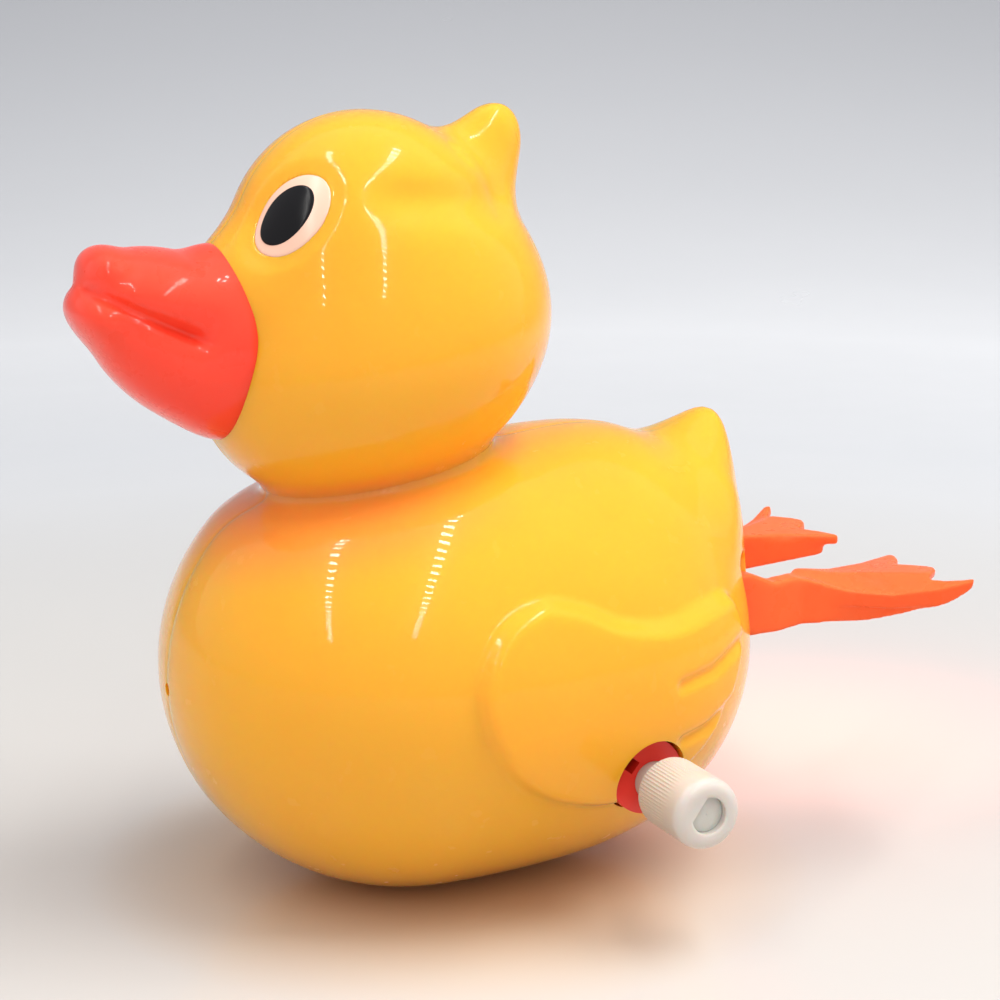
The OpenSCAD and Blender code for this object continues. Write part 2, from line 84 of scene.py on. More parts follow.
SHOULDER_DROP = 0.5     # how far under the neck's plane the body's shoulders are levelled
SHOULDER_BLEND = 3
NECK_BLEND = 3.4
REST_BLEND = 0.5        # rounds the edge of the flat under the belly
EDGE_BLEND = 0.1        # rounds the hidden edges where one skin ends under another
# Side-view lines of the mouth and of the hollow behind the eye
MOUTH = ((43.5, 73.2), (31, 67.2))
MOUTH_DEPTH = 0.9
MOUTH_WIDTH = 0.8
TEMPLE = ((17, 83.2), (-6, 81.8))
TEMPLE_WIDTH = 2.4
# Side-view outline of the wing
WING = [(9.5, 30), (6.5, 37), (0.5, 40), (-5, 39), (-10, 36.8), (-16, 36), (-22, 37),
        (-26.5, 37.2), (-28.8, 33.5), (-28.3, 28.5), (-25.5, 22.5), (-20.5, 17), (-12, 13.5),
        (-4.5, 14.2), (2.5, 17.5), (7.5, 23)]
# Feather grooves on the wing: start, bend and end in the side view
GROOVES = [((-16.6, 28.2), (-21.5, 29), (-26.2, 31)),
           ((-17.2, 21.6), (-20.8, 22.3), (-24.4, 24.2))]
GROOVE_DEPTH = 0.65
GROOVE_WIDTH = 0.7
WING_RISE = 1.7
WING_EDGE = 2.6
# The points that each form's skin is measured from
BODY_HEART = np.array((-2.0, 0, 30))
HEAD_HEART = np.array((9.0, 0, 70))
BEAK_HEART = np.array((33.0, 0, 68))
# The leaning plane of the neck, and the height over it at which the two skins meet. Past that
# height each skin slopes in under the other by NECK_DIVE, and ends after a short reach.
NECK_AT = np.array((9.6, 0, 50.9))
NECK_LEAN = math.radians(11)
NECK_SEAM = 0.4
NECK_DIVE = 0.25
BODY_REACH = 0.8
HEAD_REACH = 0.5
BEAK_ROOT = 1.1         # how far the beak is let into the head
WALL = 1.8
HALVES_SEAM = (0.07, 0.16)      # depth and width of the line between two halves
EYE_AT = np.array((22.75, 9.3, 81.5))
EYE_SIZE = np.array((4, 5.3))
PUPIL_SIZE = np.array((2.7, 3.95))
PUPIL_SHIFT = (-0.3, -0.3)
SOCKET_DISH = 0.4       # soft dish round the eye
SOCKET_DEPTH = 0.9      # the socket itself
ARBOR = (-14.6, 16.4)
KEY_HOLE = (-13.8, 17.1)
PIVOT = (-27.0, 33.0)
KEY_R = 4.1
KEY_Y0 = 29.9
KEY_LEN = 9.4
KEY_HOLE_R = 4.8
LEG_Y = 13.5
LEG_T = 3.0
LEG_PLAY = 0.8          # room between a leg and its slot in the body
LEG_SLOT_H = 13.8
LEG_SLOT_DROP = 0.35
LEG_SLOT_CUT = (-46, 18)        # where the cut for the slot begins, and how far it goes in
WEB_TOP = PIVOT[1] + 2.6
WEB_T = 1.3
DRAIN_AT = (38.0, 0.0, 26.3)
DRAIN_R = 0.8
HALVINGS = 24           # steps in finding a skin


def melt(a, b, k):
    """The lesser of a and b, with the corner between them melted over a width k."""
    h = np.maximum(k - np.abs(a - b), 0) / k
    return np.minimum(a, b) - h * h * k / 4


def lump_distance(p, centre, radii, pitch):
    """Near enough the distance to the skin of one egg-shaped lump; negative inside."""
    c, s = math.cos(math.radians(pitch)), math.sin(math.radians(pitch))
    q = p - np.array(centre, float)
    t = np.stack([c * q[..., 0] - s * q[..., 2], q[..., 1], s * q[..., 0] + c * q[..., 2]], -1)
    r = np.array(radii, float)
    k = np.linalg.norm(t / r, axis=-1)
    return k * (k - 1) / np.maximum(np.linalg.norm(t / r ** 2, axis=-1), 1e-4)


def form_distance(p, form):
    """The same for a form, its lumps melted together one after the other."""
    d = None
    for centre, radii, pitch, blend in form:
        e = lump_distance(p, centre, radii, pitch)
        d = e if d is None else melt(d, e, blend)
    return d


def neck_height(p):
    """Height over the leaning plane of the neck."""
    q = p - NECK_AT
    return q[..., 0] * math.sin(NECK_LEAN) + q[..., 2] * math.cos(NECK_LEAN)


def duck_form(p):
    """Body with its flattened shoulders, flowing into the head in a soft hollow."""
    body = -melt(-form_distance(p, BODY), -(neck_height(p) + SHOULDER_DROP), SHOULDER_BLEND)
    return melt(body, form_distance(p, HEAD), NECK_BLEND)


def body_field(p):
    """Body without its wings: flat where it rests, its neck diving in under the head's skin."""
    h = neck_height(p) - NECK_SEAM
    d = -melt(-duck_form(p) - NECK_DIVE * np.maximum(h, 0), BODY_REACH - h, EDGE_BLEND)
    return -melt(-d, p[..., 2], REST_BLEND)


def head_field(p):
    """Head, diving in under the body's skin below the neck. A shallow hollow runs from behind
    the eye to the tuft."""
    h = neck_height(p) - NECK_SEAM
    d, t = segment_distance(p[..., (0, 2)], *TEMPLE)
    hollow = np.exp(-(d / TEMPLE_WIDTH) ** 2) * ease(t / 0.3) * ease((1 - t) / 0.2)
    hollow = hollow * ease((np.abs(p[..., 1]) - 3) / 4)
    d = duck_form(p) + hollow + NECK_DIVE * np.maximum(-h, 0)
    return -melt(-d, h + HEAD_REACH, EDGE_BLEND)


def beak_field(p):
    """Beak with its mouth line, its root let a little into the head."""
    d, t = segment_distance(p[..., (0, 2)], *MOUTH)
    deep = MOUTH_DEPTH * (0.5 + 0.5 * ease(t / 0.6)) * ease((1 - t) / 0.25)
    groove = deep * np.exp(-(d / MOUTH_WIDTH) ** 2)
    return -melt(-form_distance(p, BEAK) - groove, form_distance(p, HEAD) + BEAK_ROOT, 0.3)


def skin(field, heart, directions, far=64.0):
    """Points where the field's skin is met from the heart in each direction, by halving."""
    near = np.zeros(directions.shape[:-1])
    out = np.full(directions.shape[:-1], far)
    for _ in range(HALVINGS):
        mid = (near + out) / 2
        inside = field(heart + directions * mid[..., None]) < 0
        near = np.where(inside, mid, near)
        out = np.where(inside, out, mid)
    return heart + directions * ((near + out) / 2)[..., None]


def half_directions(n):
    """Directions over the half space +Y on a square grid bent over a quarter turn each way."""
    a, b = np.meshgrid(np.linspace(-1, 1, n + 1), np.linspace(-1, 1, n + 1), indexing="ij")
    r = np.maximum(np.abs(a), np.abs(b))
    wide = np.abs(a) >= np.abs(b)
    with np.errstate(divide="ignore", invalid="ignore"):
        turn = np.where(wide, np.where(a > 0, 45 * b / a, 180 + 45 * b / a),
                        np.where(b > 0, 90 - 45 * a / b, 270 - 45 * a / b))
    turn = np.radians(np.nan_to_num(turn))
    lean = r * math.pi / 2
    d = np.stack([np.sin(lean) * np.cos(turn), np.cos(lean), np.sin(lean) * np.sin(turn)], -1)
    d[np.isclose(r, 1), 1] = 0
    return d


def smooth_closed(points, per_span=8):
    """A Catmull-Rom curve through the points of a closed outline."""
    p = np.array(points, float)
    a, b, c, d = np.roll(p, 1, 0), p, np.roll(p, -1, 0), np.roll(p, -2, 0)
    out = []
    for t in np.linspace(0, 1, per_span, endpoint=False):
        out.append(0.5 * ((2 * b) + (c - a) * t + (2 * a - 5 * b + 4 * c - d) * t ** 2
                          + (3 * b - a - 3 * c + d) * t ** 3))
    return np.stack(out, 1).reshape(-1, p.shape[1])


def segment_distance(q, a, b):
    """Distance of 2-D points to the line from a to b, and how far along it they lie, 0 to 1."""
    a, b = np.array(a, float), np.array(b, float)
    t = np.clip(((q - a) @ (b - a)) / ((b - a) @ (b - a)), 0, 1)
    return np.linalg.norm(q - a - t[..., None] * (b - a), axis=-1), t


def outline_depth(q, outline):
    """How far each 2-D point lies inside a closed outline; negative outside."""
    d = np.full(q.shape[:-1], 1e9)
    odd = np.zeros(q.shape[:-1], bool)
    for a, b in zip(outline, np.roll(outline, -1, 0)):
        d = np.minimum(d, segment_distance(q, a, b)[0])
        if a[1] != b[1]:
            odd ^= ((a[1] > q[..., 1]) != (b[1] > q[..., 1])) & (
                q[..., 0] < a[0] + (b[0] - a[0]) * (q[..., 1] - a[1]) / (b[1] - a[1]))
    return np.where(odd, d, -d)


def ease(t):
    """0 to 1 with a gentle start and end."""
    t = np.clip(t, 0, 1)
    return t * t * (3 - 2 * t)


WING_CURVE = smooth_closed(WING)


def wing_height(p):
    """Rise of the wing over the body, with its feather grooves."""
    q = p[..., (0, 2)]
    rise = WING_RISE * ease(outline_depth(q, WING_CURVE) / WING_EDGE)
    for start, bend, end in GROOVES:
        d1, d2 = segment_distance(q, start, bend)[0], segment_distance(q, bend, end)[0]
        groove = GROOVE_DEPTH * np.exp(-(np.minimum(d1, d2) / GROOVE_WIDTH) ** 2)
        rise = rise - groove * ease((rise - 0.2) / 0.8)
    return np.maximum(rise, 0)


def unit(v):
    v = np.array(v, float)
    return v / np.linalg.norm(v)


EYE_OUT = unit((0.74, 0.57, 0.36))
EYE_UP = unit(np.array((-0.6, 0.3, 0.75)) - np.dot((-0.6, 0.3, 0.75), EYE_OUT) * EYE_OUT)
EYE_SIDE = np.cross(EYE_UP, EYE_OUT)


def eye_reach(p, size):
    """1 on the rim of an oval of that size about the eye's axis, less inside it."""
    q = (p - EYE_AT) @ np.stack([EYE_SIDE, EYE_UP, EYE_OUT], 1)
    return np.where(q[..., 2] > -8, np.linalg.norm(q[..., :2] / size, axis=-1), 9)


# ---- meshes -------------------------------------------------------------------
SIGN = {"left": 1, "right": -1}


def link_new(name, data):
    """A new object in the scene."""
    obj = bpy.data.objects.new(name, data)
    bpy.context.scene.collection.objects.link(obj)
    return obj


def new_object(name, verts, faces, sharp=None):
    """An object from vertices in millimetres; sharp is the angle that stays an edge."""
    mesh = bpy.data.meshes.new(name)
    mesh.from_pydata((np.asarray(verts, float) * MM).tolist(), [], faces)
    mesh.validate()
    mesh.update()
    obj = link_new(name, mesh)
    smooth(obj, sharp)
    return obj


def smooth(obj, sharp=None):
    obj.data.polygons.foreach_set("use_smooth", [True] * len(obj.data.polygons))
    if sharp:
        obj.data.set_sharp_from_angle(angle=math.radians(sharp))


def grid_faces(n):
    """The faces of a grid of n by n squares."""
    k = np.arange(n * (n + 1)).reshape(n, n + 1)[:, :-1].ravel()
    return np.stack([k, k + n + 1, k + n + 2, k + 1], 1)[:, ::-1].tolist()


def rim_walk(n):
    """The grid's border vertices, once round."""
    s = n + 1
    return ([i * s for i in range(n)] + [n * s + j for j in range(n)]
            + [(n - i) * s + n for i in range(n)] + [n - j for j in range(n)])


def half_shell(name, outer, inner, left):
    """A closed half shell from an outer and an inner grid that share the plane y = 0."""
    n, m = outer.shape[0] - 1, inner.shape[0] - 1
    verts = np.concatenate([outer.reshape(-1, 3), inner.reshape(-1, 3)])
    faces = grid_faces(n) + [[k + (n + 1) ** 2 for k in f[::-1]] for f in grid_faces(m)]
    a = rim_walk(n)
    b = [k + (n + 1) ** 2 for k in rim_walk(m)]
    step = n // m
    for i in range(len(b)):
        j = (i + 1) % len(b)
        span = [a[(i * step + s) % len(a)] for s in range(step + 1)]
        faces.append(span + [b[j], b[i]])
    if not left:
        verts = verts * np.array((1, -1, 1))
        faces = [f[::-1] for f in faces]
    return new_object(name, verts, faces, 40)


def fix_normals(obj):
    """Turns every face outward."""
    bm = bmesh.new()
    bm.from_mesh(obj.data)
    bmesh.ops.recalc_face_normals(bm, faces=bm.faces)
    bm.to_mesh(obj.data)
    bm.free()


def bar(axis_from, axis_to, radius, sides):
    """A round bar between two points, for cutting holes."""
    a, b = Vector(axis_from), Vector(axis_to)
    bm = bmesh.new()
    bmesh.ops.create_cone(bm, cap_ends=True, segments=sides, radius1=radius * MM,
                          radius2=radius * MM, depth=(b - a).length * MM)
    turn = (b - a).to_track_quat("Z", "Y").to_matrix().to_4x4()
    bm.transform(Matrix.Translation((a + b) / 2 * MM) @ turn)
    return bmesh_object("cutter", bm)


def bmesh_object(name, bm):
    """An object from a bmesh, in metres, which is freed."""
    mesh = bpy.data.meshes.new(name)
    bm.to_mesh(mesh)
    bm.free()
    return link_new(name, mesh)


def thicken(name, outline, shift):
    """A flat outline of points in space, drawn out along shift into a closed solid."""
    bm = bmesh.new()
    face = bm.faces.new([bm.verts.new(Vector(point) * MM) for point in outline])
    moved = bmesh.ops.extrude_face_region(bm, geom=[face])["geom"]
    bmesh.ops.translate(bm, vec=Vector(shift) * MM,
                        verts=[v for v in moved if isinstance(v, bmesh.types.BMVert)])
    bmesh.ops.recalc_face_normals(bm, faces=bm.faces)
    return bmesh_object(name, bm)


def side_slab(outline, low, high):
    """A solid between two values of y, from an outline drawn in the side view."""
    return thicken("slab", [(x, low, z) for x, z in outline], (0, high - low, 0))


def plan_slab(outline, low, high):
    """A solid between two heights, from an outline drawn in plan."""
    return thicken("slab", [(x, y, low) for x, y in outline], (0, 0, high - low))


def bake_modifiers(obj):
    """Makes what the modifiers show the object's own mesh."""
    seen = obj.evaluated_get(bpy.context.evaluated_depsgraph_get())
    baked = bpy.data.meshes.new_from_object(seen)
    obj.modifiers.clear()
    obj.data = baked


def carve(obj, cutters, operation="DIFFERENCE", sharp=55):
    """Cuts the cutters out of obj, joins them to it or keeps what they share, and removes
    them."""
    for cutter in cutters:
        mod = obj.modifiers.new("carve", "BOOLEAN")
        mod.operation = operation
        mod.solver = "EXACT"
        mod.object = cutter
    bake_modifiers(obj)
    for cutter in cutters:
        bpy.data.objects.remove(cutter)
    smooth(obj, sharp)


def lathe(name, profile, at, hole, ridge=None, steps=96):
    """A closed turned ring about an axis along Y. profile is [(radius, y)] from the bore out
    and back to the bore; a radius of None takes the bore's own, hole(angle). ridge(angle,
    radius, y) is what a grip's ridges take off the radius."""
    angle = np.linspace(0, 2 * math.pi, steps, endpoint=False)
    rings = []
    for r, y in profile:
        radius = hole(angle) if r is None else np.full(steps, float(r))
        if ridge is not None and r is not None:
            radius = radius - ridge(angle, r, y)
        rings.append(np.stack([at[0] + radius * np.cos(angle), np.full(steps, float(y)),
                               at[1] + radius * np.sin(angle)], -1))
    verts = np.concatenate(rings)
    faces = []
    for i in range(len(rings)):
        j = (i + 1) % len(rings)
        for k in range(steps):
            n = (k + 1) % steps
            faces.append([i * steps + k, i * steps + n, j * steps + n, j * steps + k])
    obj = new_object(name, verts, faces, 35)
    fix_normals(obj)
    return obj


# ---- shells ---------------------------------------------------------------------
GRID = 192
INNER = GRID // 4


def shrink(p, heart, wall):
    """Points moved toward the heart by the wall."""
    r = np.linalg.norm(p - heart, axis=-1, keepdims=True)
    return heart + (p - heart) * (1 - wall / r)


def seam(p, heart):
    """A hair-fine groove where the two mouldings meet."""
    depth, width = HALVES_SEAM
    q = shrink(p, heart, depth * np.exp(-(p[..., 1:2] / width) ** 2))
    q[..., 1] = p[..., 1]
    return q


def winged_body():
    p = skin(body_field, BODY_HEART, half_directions(GRID))
    return seam(shrink(p, BODY_HEART, -wing_height(p)[..., None]), BODY_HEART)


def socketed_head():
    p = skin(head_field, HEAD_HEART, half_directions(GRID))
    e = eye_reach(p, EYE_SIZE)
    dish = SOCKET_DISH * ease((1.5 - e) / 0.5) + SOCKET_DEPTH * ease((1.0 - e) / 0.12)
    return seam(p - dish[..., None] * EYE_OUT, HEAD_HEART)


body_outer = winged_body()
body_inner = shrink(skin(body_field, BODY_HEART, half_directions(INNER)), BODY_HEART, WALL)
head_outer = socketed_head()
head_inner = shrink(skin(head_field, HEAD_HEART, half_directions(INNER)), HEAD_HEART, WALL)
for grid in (body_inner, head_inner):
    grid.reshape(-1, 3)[rim_walk(INNER), 1] = 0


def leg_slot(sign):
    """Cutter for the upright slot that a leg swings in, with rounded ends."""
    r = LEG_T / 2 + LEG_PLAY
    half = LEG_SLOT_H / 2 - r
    mid = PIVOT[1] - LEG_SLOT_DROP
    x, depth = LEG_SLOT_CUT
    turn = np.linspace(0, math.pi, 13)
    outline = [(x, sign * (LEG_Y + r * math.cos(t)), mid + half + r * math.sin(t)) for t in turn]
    outline += [(x, sign * (LEG_Y - r * math.cos(t)), mid - half - r * math.sin(t)) for t in turn]
    return thicken("slot", outline, (depth, 0, 0))


def body_shell(side):
    left = side == "left"
    obj = half_shell("body_skin_" + side, body_outer, body_inner, left)
    x, y, z = DRAIN_AT
    cutters = [leg_slot(SIGN[side]), bar((x - 6, y, z), (x + 6, y, z), DRAIN_R, 32)]
    if left:
        x, z = KEY_HOLE
        cutters.append(bar((x, 10, z), (x, 40, z), KEY_HOLE_R, 96))
    carve(obj, cutters)
    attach(obj, "duck")
    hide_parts("body_shell_" + side)
    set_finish(obj, "yellow_shell")


def head_shell(side):
    obj = half_shell("head_skin_" + side, head_outer, head_inner, side == "left")
    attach(obj, "duck")
    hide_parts("head_shell_" + side)
    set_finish(obj, "yellow_shell")


def beak_piece():
    """One closed piece from a half form and its mirror image, welded on the middle plane."""
    n = GRID * 2 // 3
    half = skin(beak_field, BEAK_HEART, half_directions(n), far=40)
    half.reshape(-1, 3)[rim_walk(n), 1] = 0
    count = (n + 1) ** 2
    left = half.reshape(-1, 3)
    verts = np.concatenate([left, left * np.array((1, -1, 1))])
    faces = grid_faces(n)
    faces += [[k + count for k in f[::-1]] for f in faces]
    obj = new_object("beak_skin", verts, faces, 50)
    bm = bmesh.new()
    bm.from_mesh(obj.data)
    bmesh.ops.remove_doubles(bm, verts=bm.verts, dist=0.0005 * MM)
    bmesh.ops.recalc_face_normals(bm, faces=bm.faces)
    bm.to_mesh(obj.data)
    bm.free()
    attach(obj, "duck")
    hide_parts("beak")
    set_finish(obj, "orange_plastic")


def eye_chip(name, side, size, shift, lift, dome, thick, node, slot):
    """A domed oval chip that follows the head's form; lift is from the head's own skin."""
    rings, steps = 20, 96
    turn = np.linspace(0, 2 * math.pi, steps, endpoint=False)
    rho = np.concatenate([np.linspace(0.02, 0.94, rings - 3), (0.97, 0.99, 1.0)])
    a = shift[0] + size[0] * rho[:, None] * np.cos(turn)
    b = shift[1] + size[1] * rho[:, None] * np.sin(turn)
    flat = EYE_AT + a[..., None] * EYE_SIDE + b[..., None] * EYE_UP
    low, high = np.full(a.shape, -6.0), np.full(a.shape, 4.0)
    for _ in range(HALVINGS):
        mid = (low + high) / 2
        inside = form_distance(flat + mid[..., None] * EYE_OUT, HEAD) < 0
        low, high = np.where(inside, mid, low), np.where(inside, high, mid)
    # the outermost 6 per cent is rounded off
    round_off = ((rho[:, None] - 0.94) / 0.06).clip(0, 1)
    edge = 0.12 * (1 - np.sqrt(1 - round_off ** 2))
    w = (low + high) / 2 + lift + dome * (1 - rho[:, None] ** 2) - edge
    top = flat + w[..., None] * EYE_OUT
    bottom = top[-1] - thick * EYE_OUT
    verts = np.concatenate([top.reshape(-1, 3), bottom, [top[0].mean(0)], [bottom.mean(0)]])
    n = len(rho)
    faces = []
    for i in range(n):
        for k in range(steps):
            faces.append([i * steps + k, i * steps + (k + 1) % steps,
                          (i + 1) * steps + (k + 1) % steps, (i + 1) * steps + k])
    crown, base = len(verts) - 2, len(verts) - 1
    for k in range(steps):
        faces.append([k, (k + 1) % steps, crown])
        faces.append([n * steps + k, n * steps + (k + 1) % steps, base])
    obj = new_object(name, verts * np.array((1, SIGN[side], 1)), faces, 40)
    fix_normals(obj)
    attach(obj, "duck")
    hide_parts(node)
    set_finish(obj, slot)


for side in SIGN:
    body_shell(side)
for side in SIGN:
    head_shell(side)
beak_piece()
for side in SIGN:
    eye_chip("eye_white_" + side, side, EYE_SIZE, (0, 0), lift=-0.36, dome=0.28, thick=1.0,
             node="eye_" + side, slot="eye_white")
for side in SIGN:
    eye_chip("eye_pupil_" + side, side, PUPIL_SIZE, PUPIL_SHIFT, lift=-0.12, dome=0.22, thick=0.7,
             node="pupil_" + side, slot="eye_black")


# ---- feet -----------------------------------------------------------------------
# Outline of the leg and keel in the side view, measured from the pivot
LEG_SIDE = [(18, 1.6), (16.6, 3), (3, 3.3), (-4, 3.8), (-7, 3.5), (-10.2, 2.2), (-13.4, 2.6),
            (-33, 2.6), (-32.2, 1.3), (-29, -0.9), (-26, -2.2), (-23.4, -2.9), (-21, -3.2),
            (-17.6, -3.2), (-14, -3.5), (-10.5, -4.1), (-6, -4.2), (-2.5, -3.6), (16.6, -3),
            (18, -1.6)]
LEG_IN, LEG_OUT = LEG_Y - LEG_T / 2, LEG_Y + LEG_T / 2
# Outlines in plan of the leg and keel, and of the web
LEG_PLAN = [(0, LEG_IN), (0, LEG_OUT), (-41, LEG_OUT), (-45, 17), (-50, 19.4), (-54.6, 21.9),
            (-59.2, 25), (-59.8, 24.2), (-54, 18.6), (-48, 14.8), (-42, LEG_IN)]
WEB_PLAN = [(-40.5, 12.2), (-42.5, 10.2), (-47.5, 10.2), (-53, 9), (-58, 6.6), (-59.4, 6),
            (-59.9, 6.7), (-58.8, 9.2), (-56.8, 11.8), (-59.4, 14.7), (-59.8, 15.9), (-59, 17.4),
            (-56.2, 19.9), (-58.8, 23), (-59.8, 24.2), (-59.2, 25), (-54.6, 21.9), (-50, 19.4),
            (-45, 17), (-41, 15)]
CRANK_THROW = 2.4
CRANK_SLOT_R = 1.35     # a pin of radius 0.8 with its play
CRANK_ARM = 13.0        # from the pivot to the crank shaft
PIVOT_HOLE_R = 1.05
# The two ends of the rib on the web: place, radius and height
TOE_RIB = [(-42, 13.5, 29.8, 1.3, 5), (-57.5, 8, 32.9, 0.8, 2)]
FOOT_VOXEL = 0.28
WEB_DIP = 0.038         # fall of the web for each millimetre inward from its outer toe
OUTER_TOE_Y = 24.3
KEEL_LEAN = 0.3
# The web's outer rim in plan, and how far it sinks, at distances behind the duck's middle
RIM_AT, RIM_Y = (41, 45, 50, 54.6, 59.2), (15, 17, 19.4, 21.9, 25)
SINK_AT, SINK = (40, 46, 51, 56, 59.5), (0, 1.5, 2.0, 1.2, 0)


def toe_rib(sign):
    """A rib on the web that tapers from the ankle to the middle toe."""
    bm = bmesh.new()
    for x, y, z, r, h in TOE_RIB:
        for t in np.linspace(0, 2 * math.pi, 16, endpoint=False):
            for up in (0, h):
                bm.verts.new(Vector((x + r * math.cos(t), sign * y + r * math.sin(t), z + up)) * MM)
    bmesh.ops.convex_hull(bm, input=bm.verts)
    bmesh.ops.recalc_face_normals(bm, faces=bm.faces)
    return bmesh_object("rib", bm)


def crank_slot(sign):
    """Cutter for the long slot that the crank pin runs in."""
    r = CRANK_SLOT_R
    rear, front = (PIVOT[0] + CRANK_ARM + s * (CRANK_THROW + 0.4) for s in (-1, 1))
    turn = np.linspace(-math.pi / 2, math.pi / 2, 17)
    outline = [(front + r * math.cos(t), PIVOT[1] + r * math.sin(t)) for t in turn]
    outline += [(rear - r * math.cos(t), PIVOT[1] - r * math.sin(t)) for t in turn]
    return side_slab(outline, sign * 8, sign * 20)


def soften(obj):
    """Remeshes the solid and eases it, so that every edge is round."""
    remesh = obj.modifiers.new("remesh", "REMESH")
    remesh.mode = "VOXEL"
    remesh.voxel_size = FOOT_VOXEL * MM
    ironed = obj.modifiers.new("ironed", "CORRECTIVE_SMOOTH")
    ironed.factor = 0.5
    ironed.iterations = 6
    ironed.smooth_type = "SIMPLE"
    ironed.use_only_smooth = True
    bake_modifiers(obj)


def bend_web(mesh, sign):
    """The web dips toward the middle of the duck, with the keel leaning in under it, and its
    outer rim sinks between the ankle and the outer toe."""
    p = np.empty(len(mesh.vertices) * 3)
    mesh.vertices.foreach_get("co", p)
    p = p.reshape(-1, 3) / MM
    beyond = ease((-42 - p[:, 0]) / 6)
    p[:, 2] -= WEB_DIP * beyond * (OUTER_TOE_Y - np.abs(p[:, 1]))
    under = (WEB_TOP - p[:, 2]).clip(0, 5.5) * ease((np.abs(p[:, 1]) - 11) / 4)
    p[:, 1] -= sign * KEEL_LEAN * beyond * under
    near_rim = ease((np.abs(p[:, 1]) - np.interp(-p[:, 0], RIM_AT, RIM_Y) + 5) / 4.5)
    p[:, 2] -= np.interp(-p[:, 0], SINK_AT, SINK) * near_rim * ease((p[:, 2] - 31) / 3)
    mesh.vertices.foreach_set("co", (p * MM).ravel())


def foot(side):
    """Leg plate, keel, web and rib joined and softened; then the web bent and the holes cut."""
    sign = SIGN[side]
    plate = side_slab([(PIVOT[0] + x, PIVOT[1] + z) for x, z in LEG_SIDE], sign * 2, sign * 30)
    carve(plate, [plan_slab([(x, sign * y) for x, y in LEG_PLAN], 20, 44)], "INTERSECT")
    web = plan_slab([(x, sign * y) for x, y in WEB_PLAN], WEB_TOP - WEB_T, WEB_TOP)
    carve(plate, [web, toe_rib(sign)], "UNION")
    soften(plate)
    bend_web(plate.data, sign)
    x, z = PIVOT
    pivot_hole = bar((x, sign * 8, z), (x, sign * 20, z), PIVOT_HOLE_R, 48)
    carve(plate, [crank_slot(sign), pivot_hole])
    plate.name = "webbed_foot_" + side
    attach(plate, side + "_foot")
    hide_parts("leg_" + side)
    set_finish(plate, "orange_plastic")


for side in SIGN:
    foot(side)


# ---- key ------------------------------------------------------------------------
FLAT_DIR = math.radians(35)     # the way the arbor's flat faces
RIDGES = 64
RIDGE_DEPTH = 0.07


def d_bore(radius, flat):
    """A round bore with one flat, as a function that gives its radius at each angle."""
    def at(angle):
        facing = np.cos(angle - FLAT_DIR)
        return np.where(facing > flat / radius, flat / np.maximum(facing, 0.05), radius)
    return at


def knurl(angle, r, y):
    """Fine straight ridges round the grip, fading out before its two ends."""
    if r < KEY_R - 0.35:
        return 0
    fade = ease((y - KEY_Y0 - 0.1) / 0.4) * ease((KEY_Y0 + KEY_LEN - 2.4 - y) / 2.5)
    return RIDGE_DEPTH * fade * (0.5 - 0.5 * np.cos(angle * RIDGES)) ** 0.7


def key_piece():
    y0, y1 = KEY_Y0, KEY_Y0 + KEY_LEN
    shoulder = 1.3
    profile = [(None, y0), (2.6, y0), (KEY_R - 0.45, y0), (KEY_R - 0.2, y0 + 0.05),
               (KEY_R - 0.06, y0 + 0.16), (KEY_R, y0 + 0.35)]
    profile += [(KEY_R, y) for y in np.linspace(y0 + 0.6, y1 - 1.6, 22)]
    profile += [(KEY_R - shoulder * (1 - math.cos(t)), y1 - shoulder * (1 - math.sin(t)))
                for t in np.linspace(0.15, math.pi / 2, 9)]
    profile += [(2.45, y1), (2.24, y1 - 0.03),
                (None, y1 - 0.12), (None, y1 - 0.5), (None, y1 - 2), (None, y0 + 3)]
    obj = lathe("key_grip", profile, ARBOR, d_bore(2.12, 1.42), knurl, steps=896)
    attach(obj, "winding")
    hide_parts("winding_key")
    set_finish(obj, "key_white")


def arbor_piece():
    """Turned from its thin end in the case to the flatted end inside the key."""
    end = KEY_Y0 + KEY_LEN - 0.8
    core = 0.05
    profile = [(core, -8.3), (1.1, -8.3), (1.2, -8.2), (1.2, -7.05), (1.25, -7), (2.2, -7),
               (2.3, -6.9), (2.3, 8), (2.3, 18), (2.3, KEY_Y0 - 0.15), (2.24, KEY_Y0 - 0.05),
               (None, KEY_Y0 - 0.02), (None, end - 0.15), (1.1, end), (core, end)]
    obj = lathe("arbor_shaft", profile, ARBOR, d_bore(2.09, 1.39))
    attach(obj, "winding")
    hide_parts("winding_arbor")
    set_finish(obj, "key_white")


key_piece()
arbor_piece()


# ---- materials ------------------------------------------------------------------
def wire(mat, node, inputs):
    """Fills a node's inputs: a socket is linked in, any other value is written on the input."""
    for name, source in inputs.items():
        if isinstance(source, bpy.types.NodeSocket):
            mat.node_tree.links.new(source, node.inputs[name])
        else:
            node.inputs[name].default_value = source


def add_node(mat, kind, inputs, output, **settings):
    """A new node of that kind, given back as one of its outputs."""
    node = mat.node_tree.nodes.new("ShaderNode" + kind)
    for name, value in settings.items():
        setattr(node, name, value)
    wire(mat, node, inputs)
    return node.outputs[output]


def object_place(mat):
    return add_node(mat, "TexCoord", {}, "Object")


def spread(mat, value, low, high, to_low=0, to_high=1):
    """The span low to high of a value, laid over another span and held at its ends."""
    return add_node(mat, "MapRange", {"Value": value, "From Min": low, "From Max": high,
                                      "To Min": to_low, "To Max": to_high}, "Result")


def blend(mat, share, a, b, how="MIX"):
    """Colour a with a share of colour b in it."""
    return add_node(mat, "Mix", {"Factor": share, "A": a, "B": b}, "Result",
                    data_type="RGBA", blend_type=how)


def calculate(mat, how, a, b):
    return add_node(mat, "Math", {0: a, 1: b}, "Value", operation=how)


